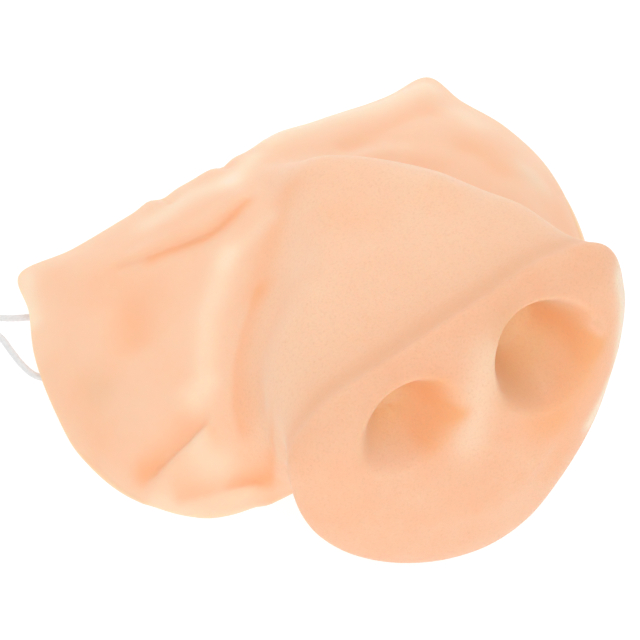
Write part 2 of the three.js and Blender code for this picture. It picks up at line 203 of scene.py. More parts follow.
BRAID_SHADED = (0.70, 0.70, 0.70, 1.0)
BRAID_WHITE = (0.88, 0.88, 0.88, 1.0)
elastic_finish = bpy.data.materials.new("white_braid")
elastic_finish.use_nodes = True
nodes, links = elastic_finish.node_tree.nodes, elastic_finish.node_tree.links
shader = nodes["Principled BSDF"]
shader.inputs["Roughness"].default_value = 0.75
shader.inputs["Sheen Weight"].default_value = 0.25
place = nodes.new("ShaderNodeTexCoord")
lint = nodes.new("ShaderNodeTexNoise")
lint.inputs["Scale"].default_value = 1400.0
lint.inputs["Detail"].default_value = 3.0
lint_tint = nodes.new("ShaderNodeValToRGB")
lint_tint.color_ramp.elements[0].color = BRAID_SHADED
lint_tint.color_ramp.elements[1].color = BRAID_WHITE
lint_bump = nodes.new("ShaderNodeBump")
lint_bump.inputs["Strength"].default_value = 0.35
lint_bump.inputs["Distance"].default_value = 0.0002
links.new(place.outputs["Object"], lint.inputs["Vector"])
links.new(lint.outputs["Fac"], lint_tint.inputs["Fac"])
links.new(lint_tint.outputs["Color"], shader.inputs["Base Color"])
links.new(lint.outputs["Fac"], lint_bump.inputs["Height"])
links.new(lint_bump.outputs["Normal"], shader.inputs["Normal"])
cord.data.materials.append(elastic_finish)

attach(cord, "root")
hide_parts("elastic_cord")

# Snout skin: one slush-moulded skin of peach latex, hollow and open behind, with a thick snout disc,
# two blind nostrils, a barrel and two soft cheek wings. It is pulled from its mould and cut free along
# the edge of the wings.
SKIN_THICK = 1.6
SPOKES = 320
DISC_LEAN = math.radians(20.8)
DISC_ROLL = math.radians(5)
DISC_MIDDLE = np.array([0.0, -40.45, 34.9])
FORWARD = np.array([0.0, -math.cos(DISC_LEAN), math.sin(DISC_LEAN)])
RISE = np.array([0.0, math.sin(DISC_LEAN), math.cos(DISC_LEAN)])
SIDEWAYS = np.array([1.0, 0.0, 0.0])
# Radius of the disc every 15 degrees, from the far side over the top
DISC_RADII = np.array([
    39.4, 42.9, 44.6, 36.8, 28.8, 24.7,
    23.1, 22.9, 24.6, 28.3, 35.0, 40.4,
    40.4, 39.9, 38.6, 37.4, 36.9, 37.0,
    37.3, 36.7, 35.2, 34.7, 35.1, 36.4,
])
# Section of the disc, forward of its middle: a crowned pad, its rounded shoulder, the rim, which comes
# forward where the valley behind the disc is shallow, and the undercut between rim and valley
PAD_DEPTH = 9.0
PAD_CROWN = 0.8
PAD_HALFWAY_CROWN = 0.5
PAD_EDGE_DROP = 1.2
SHOULDER_DROP = 4.8
SHOULDER_CURL = 0.3
SHOULDER_FOLLOWS_RIM = 0.4
RIM_FOLLOWS_VALLEY = 0.41
DEEPEST_VALLEY = 9
UNDERCUT_IN = 0.35
UNDERCUT_BACK = 0.44
# Once round the nose, from the chin over the far wing, the bridge and the near wing: angle on the disc,
# rim overhang, edge curl, valley behind the disc, swell of barrel front, barrel rear and wing,
# crease x y z, free edge x y z
ANGLE, OVERHANG, CURL, VALLEY, FRONT_SWELL, REAR_SWELL, WING_SWELL = range(7)
CREASE, EDGE = slice(7, 10), slice(10, 13)
MERIDIANS = np.array([
    [-90, 7.0, 13.0, -9.0, 0.0, 0.0, 0.3, 0, -27.2, 11.0, 0, -23.7, 8.0],
    [-72, 7.0, 13.0, -9.0, 0.0, 0.0, 0.5, 16, -26.2, 9.5, 18, -23.7, 5.0],
    [-55, 7.0, 13.0, -9.0, 0.0, 0.0, 1.0, 29, -23.7, 8.0, 35.5, -21.7, 0.6],
    [-40, 7.0, 12.0, -9.0, 0.5, 0.5, 2.0, 34, -20.2, 11.0, 49, -17.7, 0.0],
    [-25, 7.0, 11.0, -9.0, 1.0, 0.5, 3.5, 35.5, -14.7, 16.5, 57.8, -5.2, 0.0],
    [-12, 6.5, 10.0, -9.0, 1.5, 1.0, 5.0, 34, -8.7, 20.5, 62.7, 9.2, 0.3],
    [0, 6.0, 9.0, -9.0, 2.0, 1.5, 5.5, 31, -2.2, 23.5, 63.6, 22.3, 3.0],
    [10, 5.0, 8.0, -8.2, 3.2, 2.5, 5.5, 28, 4.8, 24.0, 61, 35.3, 4.4],
    [20, 4.0, 7.0, -7.0, 4.6, 3.5, 5.0, 24.5, 12.3, 23.5, 56.4, 46.4, 4.6],
    [28, 3.4, 6.5, -6.2, 5.8, 5.0, 4.0, 21.5, 19.3, 23.0, 53.3, 56.2, 4.8],
    [36, 3.2, 6.0, -5.6, 6.6, 6.5, 3.0, 18.5, 26.3, 22.5, 41, 54.3, 7.5],
    [48, 3.0, 6.0, -5.2, 7.2, 8.0, 2.0, 14, 33.5, 22.5, 27, 52.8, 12.0],
    [65, 3.0, 6.0, -5.0, 7.4, 9.0, 1.0, 8, 39.5, 23.0, 13, 51.3, 16.0],
    [90, 3.0, 6.0, -5.0, 7.0, 9.5, 0.5, 0, 42.5, 23.5, 0, 49.8, 17.5],
    [115, 3.0, 6.0, -5.0, 7.4, 6.5, 1.0, -4, 33.5, 28.5, -13, 51.3, 16.0],
    [132, 3.0, 6.0, -5.2, 7.2, 3.8, 2.0, -7, 25, 32.0, -27, 52.8, 12.0],
    [144, 3.2, 6.0, -5.6, 6.6, 2.8, 2.5, -12, 18.4, 31.3, -41, 54.3, 7.5],
    [152, 3.4, 6.5, -6.2, 5.8, 2.4, 2.5, -17, 12.6, 30.0, -53.3, 56.2, 4.8],
    [160, 4.0, 7.0, -7.0, 4.6, 2.2, 3.5, -21.8, 8, 28.6, -56.4, 46.4, 4.6],
    [170, 5.0, 8.0, -8.2, 3.2, 2.2, 4.5, -26.8, 3.4, 26.6, -61, 35.3, 4.4],
    [180, 6.0, 9.0, -9.0, 2.0, 1.5, 5.3, -31.5, -1.8, 24.3, -63.6, 22.3, 3.0],
    [192, 6.5, 10.0, -9.0, 1.5, 1.0, 5.0, -35.2, -8, 20.5, -64, 8.8, 0.3],
    [205, 7.0, 11.0, -9.0, 1.0, 0.5, 3.5, -36.4, -14.2, 16.5, -60, -5.2, 0.0],
    [220, 7.0, 12.0, -9.0, 0.5, 0.5, 2.0, -34, -20.2, 11.0, -49, -17.7, 0.0],
    [235, 7.0, 13.0, -9.0, 0.0, 0.0, 1.0, -29, -23.7, 8.0, -35.5, -21.7, 0.6],
    [252, 7.0, 13.0, -9.0, 0.0, 0.0, 0.5, -16, -26.2, 9.5, -18, -23.7, 5.0],
])
# Two stations on the barrel between valley and crease: share of the way, how far the top leans to the
# far side, and the column of its swell. The swell points away from the barrel's heart.
BARREL_STATIONS = [
    {"share": 0.35, "lean": 1.2, "swell": FRONT_SWELL},
    {"share": 0.7, "lean": 2.0, "swell": REAR_SWELL},
]
BARREL_HEART_Z = 10.0
SIDEWAYS_BIAS = 0.6
CREASE_FILLET = 0.3


def round_the_nose(rows, turn):
    """Smooth closed interpolation of rows of values at turn (0 to 1, once round)."""
    count = len(rows)
    spot = np.mod(turn, 1.0) * count
    first = np.floor(spot).astype(int)
    part = (spot - first)[:, None]
    a, b, c, d = (rows[(first + step) % count] for step in (-1, 0, 1, 2))
    slope, bend, flick = c - a, 2 * a - 5 * b + 4 * c - d, 3 * b - a - 3 * c + d
    return 0.5 * (2 * b + slope * part + bend * part**2 + flick * part**3)


def on_disc(angle, radius, forward):
    """Points round the disc's middle at an angle, a radius and a distance forward."""
    forward = np.broadcast_to(forward, np.shape(angle))
    return (
        DISC_MIDDLE + (radius * np.cos(angle))[:, None] * SIDEWAYS
        + (radius * np.sin(angle))[:, None] * RISE + forward[:, None] * FORWARD
    )


def meridian_points(turn):
    """The twelve points that each meridian runs through, from the disc's middle to the free edge."""
    chin_angle = MERIDIANS[0, ANGLE]
    rows = MERIDIANS.copy()
    rows[:, ANGLE] -= 360 * np.arange(len(rows)) / len(rows) + chin_angle
    values = round_the_nose(rows, turn)
    angle = np.radians(values[:, ANGLE] + 360 * turn + chin_angle) + DISC_ROLL
    radius = round_the_nose(DISC_RADII[:, None], angle / (2 * np.pi))[:, 0]
    overhang, curl, valley_at = values[:, OVERHANG], values[:, CURL], values[:, VALLEY]
    rim_at = RIM_FOLLOWS_VALLEY * (DEEPEST_VALLEY + valley_at)
    shoulder_at = PAD_DEPTH - SHOULDER_DROP + SHOULDER_FOLLOWS_RIM * rim_at
    undercut_at = rim_at + UNDERCUT_BACK * (valley_at - rim_at)
    valley = on_disc(angle, radius - overhang, valley_at)
    crease, edge = values[:, CREASE], values[:, EDGE]
    points = [
        on_disc(angle, 0 * radius, PAD_DEPTH + PAD_CROWN),
        on_disc(angle, radius / 2, PAD_DEPTH + PAD_HALFWAY_CROWN),
        on_disc(angle, radius - curl, PAD_DEPTH - PAD_EDGE_DROP),
        on_disc(angle, radius - SHOULDER_CURL * curl, shoulder_at),
        on_disc(angle, radius, rim_at),
        on_disc(angle, radius - UNDERCUT_IN * overhang, undercut_at),
        valley,
    ]
    for station in BARREL_STATIONS:
        middle = valley + station["share"] * (crease - valley)
        outward = middle - [0.0, 0.0, BARREL_HEART_Z]
        outward *= [SIDEWAYS_BIAS, 0.0, 1.0]
        outward /= np.linalg.norm(outward, axis=1, keepdims=True)
        bulged = middle + outward * values[:, station["swell"], None]
        bulged[:, 0] += station["lean"] * np.maximum(outward[:, 2], 0)
        points.append(bulged)
    wing = (crease + edge) / 2
    wing[:, 2] += values[:, WING_SWELL]
    crease = crease + CREASE_FILLET * ((points[-1] + wing) / 2 - crease)
    return np.array(points + [crease, wing, edge])


# Rings of the skin between each two points of a meridian
RINGS_PER_STRETCH = [22, 22, 12, 10, 8, 8, 18, 20, 22, 24, 24]
SHOULDER_POINT, VALLEY_POINT, CREASE_POINT = 3, 6, 9
# Zones of the skin, by the place along a meridian where each starts and ends and how long it fades there
ZONES = {
    "nostrils": {"end": SHOULDER_POINT, "fades_out": 1.2},
    "pad": {"end": SHOULDER_POINT, "fades_out": 1.0},
    "nostril_glow_and_shade": {"end": 4, "fades_out": 1.0},
    "disc_tones_and_reflection": {"end": 5.5, "fades_out": 1.0},
    "disc_tone": {"end": 6.6, "fades_out": 1.6},
    "groove": {"start": 4.6, "fades_in": 0.9, "end": 7.2, "fades_out": 0.9},
    "barrel": {"start": VALLEY_POINT, "fades_in": 0.6, "end": CREASE_POINT, "fades_out": 0.5},
    "painted_light_and_tones": {"start": 6.5, "fades_in": 1.0},
    "wings": {"start": CREASE_POINT, "fades_in": 0.6},
    "free_edge": {"start": 10.6, "fades_in": 0.4},
}
places = np.concatenate([[0.0]] + [
    stretch + np.arange(1, rings + 1) / rings for stretch, rings in enumerate(RINGS_PER_STRETCH)
])


def smooth(value):
    """Soft step from 0 to 1."""
    value = np.clip(value, 0, 1)
    return value * value * (3 - 2 * value)


def zone(name):
    """Share that each ring has in a zone, as a column."""
    limits = ZONES[name]
    share = np.ones(len(places))
    if "start" in limits:
        share *= smooth((places - limits["start"]) / limits["fades_in"])
    if "end" in limits:
        share *= smooth((limits["end"] - places) / limits["fades_out"])
    return share[:, None]


# Nostrils, across and up the disc. The wall is steep on one side and gentle on the other, the side that
# toward points to in degrees, where it runs out into the disc.
NOSTRILS = [
    {"across": -15.8, "rise": 9.2, "half_width": 12.9, "half_height": 9.7, "tilt": 13, "depth": 10.5,
     "steep": 0.6, "gentle": 1.15, "toward": -112},
    {"across": 17.4, "rise": 9.4, "half_width": 13.4, "half_height": 13.5, "tilt": 8, "depth": 13.0,
     "steep": 0.36, "gentle": 1.05, "toward": -62},
]


def nostril_depth(points):
    """Depth of both nostrils' dents at points on the disc."""
    onto = points - DISC_MIDDLE
    depth = 0
    for nostril in NOSTRILS:
        aside, above = onto[..., 0] - nostril["across"], onto @ RISE - nostril["rise"]
        tilt = math.radians(nostril["tilt"])
        across = (aside * math.cos(tilt) + above * math.sin(tilt)) / nostril["half_width"]
        along = (above * math.cos(tilt) - aside * math.sin(tilt)) / nostril["half_height"]
        gentle = 0.5 + 0.5 * np.cos(np.arctan2(along, across) - math.radians(nostril["toward"]))
        wall = nostril["steep"] + (nostril["gentle"] - nostril["steep"]) * gentle
        depth = depth + nostril["depth"] * smooth((1 - np.hypot(across, along)) / wall)
    return depth


# Folds, dents and rolls of the soft wings, seen from above: path, width, its width on the path's left
# if that differs, and lift
FOLDS = [
    {"path": [(-25, 33.4), (-20, 31.2), (-16.7, 30.8), (-13.7, 31.1)],
     "width": 2.6, "left": 0.7, "lift": -1.5},
    {"path": [(-37, 38.6), (-32, 35.8), (-28, 34.4)], "width": 2.2, "left": 0.8, "lift": -1.0},
    {"path": [(-11.4, 31.5), (-8, 32.4)], "width": 2.2, "left": 0.8, "lift": -0.9},
    {"path": [(-33, 38.2), (-25, 36.4), (-19.5, 34.2), (-15, 33.8), (-9.5, 34.4)],
     "width": 2.4, "lift": 0.9},
    {"path": [(-38, 31), (-42, 20)], "width": 9.0, "lift": -1.0},
    {"path": [(-41, 27), (-43.1, 22.2), (-44.5, 18.2)], "width": 5.0, "lift": -1.5},
    {"path": [(-56.8, 22), (-54.5, 15.4)], "width": 4.0, "lift": -0.9},
    {"path": [(-53.4, -5.6), (-50.7, -6), (-46.7, -6.5), (-42.6, -6.1)],
     "width": 1.0, "left": 3.6, "lift": -1.9},
    {"path": [(-53, -8.6), (-48.5, -9.2), (-43, -8.8)], "width": 2.4, "lift": 1.5},
    {"path": [(-52, -12.2), (-47.5, -14.9), (-40.9, -18.2), (-35.5, -20.4)],
     "width": 1.0, "left": 2.2, "lift": -1.0},
    {"path": [(-56.9, -9), (-50.8, -15), (-44.7, -19), (-39, -21)], "width": 2.2, "lift": 1.2},
    {"path": [(-19, 23.6), (-31, 11.1), (-38.8, -0.5), (-44, -1)], "width": 3.6, "lift": 1.6},
    {"path": [(21, 38), (33, 41.2), (39.5, 42), (44, 42.5)], "width": 3.4, "lift": -1.4},
    {"path": [(7, 48.5), (24, 50.6), (34, 50), (42.4, 51), (49.3, 51)], "width": 3.0, "lift": 1.2},
    {"path": [(20.9, 34.8), (27.8, 33.3), (32.1, 30), (36.6, 25)], "width": 3.2, "lift": 0.8},
    {"path": [(45, 26), (46.6, 22.8), (47.5, 17.3)], "width": 5.0, "lift": -1.6},
    {"path": [(51.5, 39.6), (52.6, 35.2)], "width": 4.0, "lift": 0.8},
    {"path": [(55.2, 16.3), (56, 13.5)], "width": 3.5, "lift": 0.8},
    {"path": [(3, 50.5), (9, 51.5)], "width": 7.0, "lift": 1.8},
    {"path": [(-22.5, 51.5), (-22, 50)], "width": 2.4, "lift": 1.3},
    {"path": [(-18.8, 51), (-18.8, 48.5)], "width": 2.2, "lift": -1.3},
    {"path": [(-8, 50.5), (-7.5, 48)], "width": 3.0, "lift": 0.9},
    {"path": [(-4.6, 51), (-4.6, 48)], "width": 1.4, "lift": -0.9},
    {"path": [(-1.5, 50.5), (-1.5, 48)], "width": 1.8, "lift": 0.6},
]
# Bulges of the barrel, given the same way
BULGES = [
    {"path": [(7, 25), (14, 15), (20, 5)], "width": 7.5, "lift": 3.6},
]
# Painted shade above zero, a deeper orange in creases, valleys and under the lips of folds, and painted
# highlights below zero, paler on ridges, rolls and edges that catch the light, seen from above: path,
# width, its width on the path's left if that differs, and strength
PAINTED_SHADE_AND_HIGHLIGHTS = [
    {"path": [(-31, 35.3), (-25.5, 33.4), (-20, 31.1), (-16.7, 30.7), (-12.6, 31.3), (-9, 32)],
     "width": 2.2, "left": 0.5, "deep": 0.6},
    {"path": [(-25.8, 45.3), (-21.5, 44.6), (-15.4, 45.5), (-8, 42)], "width": 3.4, "deep": -0.75},
    {"path": [(-22.8, 38), (-17.8, 37.4), (-12, 37)], "width": 2.6, "deep": 0.12},
    {"path": [(-39.5, 37), (-38, 30), (-42, 22)], "width": 8.0, "deep": 0.2},
    {"path": [(-41.5, 25.5), (-44.2, 20.3)], "width": 4.2, "deep": 0.32},
    {"path": [(-56.5, 20), (-55, 16.5)], "width": 4.0, "deep": 0.25},
    {"path": [(-60.5, 30), (-62, 17), (-61.5, 8)], "width": 4.0, "deep": 0.3},
    {"path": [(-55.6, -5.2), (-51.5, -6), (-46.7, -6.4), (-43.4, -6)],
     "width": 0.8, "left": 4.0, "deep": 0.5},
    {"path": [(-52, -12.2), (-47.5, -14.9), (-40.9, -18.3), (-34.8, -21)],
     "width": 0.9, "left": 1.8, "deep": 0.45},
    {"path": [(-42.5, -17.6), (-34.8, -21)], "width": 0.8, "left": 1.6, "deep": 0.35},
    {"path": [(-56, -3.5), (-53.5, -4.6)], "width": 2.2, "deep": 0.3},
    {"path": [(-3, 24), (-9, 19), (-14.5, 14), (-20, 8.5)], "width": 3.4, "deep": 0.45},
    {"path": [(-20, 8.5), (-27, 2.5), (-31.6, -2.3), (-35.3, -8), (-36.5, -12)],
     "width": 0.9, "left": 3.2, "deep": 0.45},
    {"path": [(-19.5, 22), (-31, 11.1), (-38, 0.5), (-41.5, -0.8)], "width": 2.9, "deep": -0.75},
    {"path": [(-45.4, -9.6), (-44.3, -12.4), (-42.7, -14.4)], "width": 3.0, "deep": -0.7},
    {"path": [(-56, -9.6), (-50.8, -15), (-46.5, -17.9), (-40.5, -20.6)], "width": 1.8, "deep": -0.4},
    {"path": [(-6.4, 42), (-1.7, 44.5), (0.6, 45.7)], "width": 3.0, "deep": -0.9},
    {"path": [(-20.8, 20.7), (-17.6, 21.9), (-8.5, 22.8)], "width": 2.4, "deep": -0.4},
    {"path": [(-42.2, -3.2), (-39.9, -2.7), (-36.8, -1.2)], "width": 2.2, "deep": -0.4},
    {"path": [(-52.7, 54.1), (-55.4, 48.8), (-56.8, 43.1)], "width": 2.0, "deep": -0.7},
    {"path": [(21, 38.2), (33, 41.5), (39.3, 42.2), (44, 43)], "width": 3.2, "deep": 0.2},
    {"path": [(6.9, 48.5), (24, 50.6), (34, 49.8), (42.4, 50.8), (49.3, 51)], "width": 3.6, "deep": -0.9},
    {"path": [(20.9, 35.3), (27.8, 33.8), (31, 31.5)], "width": 2.2, "deep": -0.3},
    {"path": [(45.2, 26), (46.6, 22.8), (47.5, 17.3)], "width": 5.0, "deep": 0.4},
    {"path": [(51.5, 39.6), (52.6, 35.2)], "width": 4.0, "deep": -0.6},
    {"path": [(55.2, 16.3), (56, 13.5)], "width": 4.0, "deep": -0.5},
    {"path": [(0, 7.7), (4.7, 1.3)], "width": 6.0, "deep": 0.2},
    {"path": [(19.8, -3), (21, -4)], "width": 5.0, "deep": 0.2},
    {"path": [(60, 15), (58.5, 9.5), (55.5, 3)], "width": 4.5, "deep": 0.5},
    {"path": [(-19.3, -2), (-24.5, -6.6), (-28, -10.3), (-30.5, -11.5)], "width": 5.5, "deep": 0.2},
]
# The same for the disc, with paths across and up it: paler along its right rim, a painted reflection of
# the white surroundings, paler down the septum and at the left rim, and a deeper orange below the right
# nostril
DISC_TONES_AND_RIM_REFLECTION = [
    {"path": [(4.5, 15.5), (0.1, 8), (-3.9, -0.4)], "width": 4.5, "deep": -0.55},
    {"path": [(39, 16), (39, 10), (37.4, 2), (35.6, -7), (31, -12), (26.5, -16)],
     "width": 2.6, "deep": -1.3},
    {"path": [(12, -4.5), (19, -6), (26, -3)], "width": 5.0, "deep": 0.6},
    {"path": [(16, -8), (18.5, -11), (17.5, -16), (14.5, -20)], "width": 4.5, "deep": 0.45},
    {"path": [(-33, 10), (-36, 5), (-34.5, -1)], "width": 7.0, "deep": -0.1},
]
# Painted light shining through the nostrils' thin walls, and below zero painted shade that turns them
# brown, across and up the disc: path, width and strength
NOSTRIL_GLOWS_AND_SHADE = [
    {"path": [(-7.8, 14), (-7.6, 7), (-12.4, 3.5)], "width": 3.0, "deep": 0.9},
    {"path": [(-6, 7.3), (-4, 6.8)], "width": 2.0, "deep": 0.6},
    {"path": [(24.5, 12), (27, 8), (28, 5.7)], "width": 4.0, "deep": 0.9},
    {"path": [(28, 5.7), (23.6, 1), (18.1, -1.1)], "width": 3.2, "deep": 0.6},
    {"path": [(8.5, 6), (9, 11), (11.5, 18)], "width": 4.5, "deep": -0.7},
    {"path": [(12, 2), (16, -0.5)], "width": 3.5, "deep": -0.4},
    {"path": [(29.5, 11), (30.4, 8.5)], "width": 1.5, "deep": -0.7},
    {"path": [(-24, 12), (-25, 8)], "width": 3.2, "deep": -0.35},
]


def along_paths(spots, traces, strength):
    """Sum of all traces at spots (..., 2), each strongest on its path and fading over its width."""
    total = np.zeros(spots.shape[:-1])
    for trace in traces:
        nearest = np.full(spots.shape[:-1], np.inf)
        width = np.full(spots.shape[:-1], trace["width"])
        for start, stop in zip(trace["path"][:-1], trace["path"][1:]):
            start, run_to = np.array(start, float), np.array(stop, float) - start
            share = np.clip(((spots - start) @ run_to) / (run_to @ run_to), 0, 1)
            aside = spots - start - share[..., None] * run_to
            distance = np.linalg.norm(aside, axis=-1)
            turned_to = run_to[0] * aside[..., 1] - run_to[1] * aside[..., 0]
            to_left = 0.5 + 0.5 * turned_to / (np.linalg.norm(run_to) * distance + NEVER_ZERO)
            here = trace["width"] + to_left * (trace.get("left", trace["width"]) - trace["width"])
            width = np.where(distance < nearest, here, width)
            nearest = np.minimum(nearest, distance)
        total += trace[strength] * np.exp(-(nearest / width) ** 2)
    return total


# The outside: the moulded form with its nostrils sunk in, then the folds of the wings and the groove
# behind the disc, which is rounded out in many small steps
FREE_EDGE_HIGHLIGHT = 0.35
GROOVE_ROUNDS = 130
GROOVE_EASE = 0.25
outer = curve_through(meridian_points(np.arange(SPOKES) / SPOKES), places)
sunk = zone("nostrils") * nostril_depth(outer)
outer = outer - sunk[..., None] * FORWARD
flat_on_disc = np.stack([(outer - DISC_MIDDLE) @ SIDEWAYS, (outer - DISC_MIDDLE) @ RISE], axis=-1)
# Painted shade and highlights of wings and barrel, and the disc's tones with its painted rim reflection
painted_light_and_tones = zone("painted_light_and_tones") * along_paths(outer[..., :2], PAINTED_SHADE_AND_HIGHLIGHTS, "deep")
# Paler along the free edge, a painted highlight where the rolled edge catches the light
painted_light_and_tones -= FREE_EDGE_HIGHLIGHT * zone("free_edge")
painted_light_and_tones += zone("disc_tones_and_reflection") * along_paths(flat_on_disc, DISC_TONES_AND_RIM_REFLECTION, "deep")
outer[..., 2] += zone("wings") * along_paths(outer[..., :2], FOLDS, "lift")
outer[..., 2] += zone("barrel") * along_paths(outer[..., :2], BULGES, "lift")
easing = GROOVE_EASE * zone("groove")[1:-1, :, None]
for settling in range(GROOVE_ROUNDS):
    outer[1:-1] += easing * (outer[:-2] - 2 * outer[1:-1] + outer[2:])
outer[..., 2] = np.maximum(outer[..., 2], 0)
outward = np.cross(np.gradient(outer, axis=0), np.roll(outer, -1, axis=1) - np.roll(outer, 1, axis=1))
outward[0] = FORWARD
outward /= np.linalg.norm(outward, axis=-1, keepdims=True)
under_table = np.maximum(SKIN_THICK * outward[..., 2] - outer[..., 2], 0)
outer[..., 2] += under_table


def even_out(rings, share, rounds):
    """Move the points of all rings but the first and last toward the mean of their four neighbours."""
    for settling in range(rounds):
        beside = (np.roll(rings, 1, axis=1) + np.roll(rings, -1, axis=1))[1:-1]
        mean = (beside + rings[:-2] + rings[2:]) / 4
        rings[1:-1] += share[1:-1, :, None] * (mean - rings[1:-1])


# The inside follows creases and nostrils more softly than the outside, so it never folds over itself,
# and it has only every second ring
INWARD_ROUNDS = 60
INSIDE_ROUNDS = 6
INSIDE_EVERY = 2
inward = -outward
even_out(inward, np.maximum(zone("wings"), zone("pad")), INWARD_ROUNDS)
inward[-1] = inward[-2]
inward /= np.linalg.norm(inward, axis=-1, keepdims=True)
inner = outer + SKIN_THICK * inward
even_out(inner, zone("wings"), INSIDE_ROUNDS)
inner[..., 2] = np.maximum(inner[..., 2], 0)
inner = inner[::INSIDE_EVERY]

SHARP_EDGE = math.radians(60)
skin_points = np.vstack([outer[0, :1], outer[1:].reshape(-1, 3), inner[0, :1], inner[1:].reshape(-1, 3)])
inner_start = 1 + (len(outer) - 1) * SPOKES
outer_edge = 1 + (len(outer) - 2) * SPOKES
inner_edge = inner_start + 1 + (len(inner) - 2) * SPOKES
skin_faces = []
for spoke in range(SPOKES):
    after = (spoke + 1) % SPOKES
    for start, rings, out_of_mould in ((0, len(outer), True), (inner_start, len(inner), False)):
        loops = [(start, start + 1 + spoke, start + 1 + after)]
        for ring in range(rings - 2):
            low, high = start + 1 + ring * SPOKES, start + 1 + (ring + 1) * SPOKES
            loops.append((low + spoke, high + spoke, high + after, low + after))
        skin_faces += loops if out_of_mould else [loop[::-1] for loop in loops]
    skin_faces.append((outer_edge + spoke, inner_edge + spoke, inner_edge + after, outer_edge + after))
skin = mesh_piece("snout_skin", skin_points, skin_faces)
skin.data.set_sharp_from_angle(angle=SHARP_EDGE)


def add_field(piece, name, outer_values, inner_values):
    """Named value on each point of the skin, for its material."""
    values = np.concatenate([
        outer_values[0, :1], outer_values[1:].ravel(), inner_values[0, :1], inner_values[1:].ravel(),
    ])
    field = piece.data.attributes.new(name, "FLOAT", "POINT")
    field.data.foreach_set("value", values.astype(np.float32))


# Fields that the latex takes its tones and its painted shade and highlights from. The grain covers disc
# and barrel and runs out on the wings, and the groove behind the disc is darker tan in its upper part,
# partly the mask's airbrushed tone and partly painted shade.
# Limits of the field of painted shade, highlights and tones: white and pale are painted highlights, pale
# also a paler tone on the disc, and deep orange is painted shade and a deeper tone
WHITE_HIGHLIGHT, PALE_TONE_AND_HIGHLIGHT, DEEP_ORANGE = -2.0, -1.0, 1.0
WALL_SHADE, WALL_GLOWING = -1.0, 1.0
GRAIN_END = 8.3
GRAIN_FADE = 1.2
INSIDE_GRAIN = 0.3
GROOVE_SHADE_PLACE = 5.3
GROOVE_SHADE_WIDTH = 0.9
GROOVE_SHADE_RISE = 8
GROOVE_SHADE_FADE = 10
unmarked = np.zeros(inner.shape[:2])
add_field(skin, "shade_highlight_tone", np.clip(painted_light_and_tones, WHITE_HIGHLIGHT, DEEP_ORANGE), unmarked)
grain = np.repeat((1 - np.clip((places - GRAIN_END) / GRAIN_FADE, 0, 1))[:, None], SPOKES, axis=1)
add_field(skin, "grain", grain, np.full(inner.shape[:2], INSIDE_GRAIN))
# Depth of the nostrils, which their painted shade follows
deepest = max(nostril["depth"] for nostril in NOSTRILS)
add_field(skin, "nostril", np.clip(sunk / deepest, 0, 1), unmarked)
glow_and_shade = zone("nostril_glow_and_shade") * along_paths(flat_on_disc, NOSTRIL_GLOWS_AND_SHADE, "deep")
add_field(skin, "nostril_glow_and_shade", np.clip(glow_and_shade, WALL_SHADE, WALL_GLOWING), unmarked)
add_field(skin, "disc", np.repeat(zone("disc_tone"), SPOKES, axis=1), unmarked)
in_groove = np.exp(-((places - GROOVE_SHADE_PLACE) / GROOVE_SHADE_WIDTH) ** 2)[:, None]
shaded = in_groove * smooth((flat_on_disc[..., 1] - GROOVE_SHADE_RISE) / GROOVE_SHADE_FADE)
add_field(skin, "groove", shaded, unmarked)

# The pale colour serves the clouds and the painted highlights, the white one is a painted highlight, and
# the deep one is painted shade and a deeper tone
LATEX = (0.975, 0.585, 0.382, 1.0)
LATEX_PALE_AND_HIGHLIGHT = (0.985, 0.742, 0.545, 1.0)
LATEX_WHITE_HIGHLIGHT = (0.960, 0.800, 0.690, 1.0)
LATEX_DEEP_TONE_AND_SHADE = (0.985, 0.450, 0.215, 1.0)
DISC_LATEX = (0.965, 0.500, 0.300, 1.0)
# Darker tan of the groove: airbrushed tone and painted shade
GROOVE_TONE_AND_SHADE = (0.840, 0.450, 0.255, 1.0)
# Painted shade in the nostrils, tan by depth and brown along paths, and painted orange light through
# their walls
NOSTRIL_DEPTH_SHADE = (0.900, 0.565, 0.310, 1.0)
NOSTRIL_GLOW_ORANGE = (0.940, 0.440, 0.200, 1.0)
NOSTRIL_SHADE_BROWN = (0.780, 0.455, 0.235, 1.0)
SPECK = (0.800, 0.420, 0.240, 1.0)
CLOUD_TINT = 0.25
GROOVE_TONE_AND_SHADE_AMOUNT = 0.6
SPECK_TINT = 0.4
LATEX_GLOW_REACH = (1.0, 0.4, 0.22)
latex_finish = bpy.data.materials.new("peach_latex")
latex_finish.use_nodes = True
nodes, links = latex_finish.node_tree.nodes, latex_finish.node_tree.links
shader = nodes["Principled BSDF"]
shader.inputs["Roughness"].default_value = 0.55
shader.inputs["Specular IOR Level"].default_value = 0.3
shader.inputs["Sheen Weight"].default_value = 0.12
shader.inputs["Sheen Roughness"].default_value = 0.4
shader.inputs["Subsurface Weight"].default_value = 0.35
shader.inputs["Subsurface Radius"].default_value = LATEX_GLOW_REACH
shader.inputs["Subsurface Scale"].default_value = 0.004


def field_node(name):
    """Value of one of the skin's fields."""
    node = nodes.new("ShaderNodeAttribute")
    node.attribute_name = name
    return node.outputs["Fac"]


def mix_colours(amount, first, second):
    """Colour that goes from first to second by amount. Each is a plain colour or a node's output."""
    node = nodes.new("ShaderNodeMix")
    node.data_type = "RGBA"
    colour_a, colour_b, colour_mixed = node.inputs[6], node.inputs[7], node.outputs[2]
    links.new(amount, node.inputs["Factor"])
    for socket, value in ((colour_a, first), (colour_b, second)):
        if isinstance(value, tuple):
            socket.default_value = value
        else:
            links.new(value, socket)
    return colour_mixed


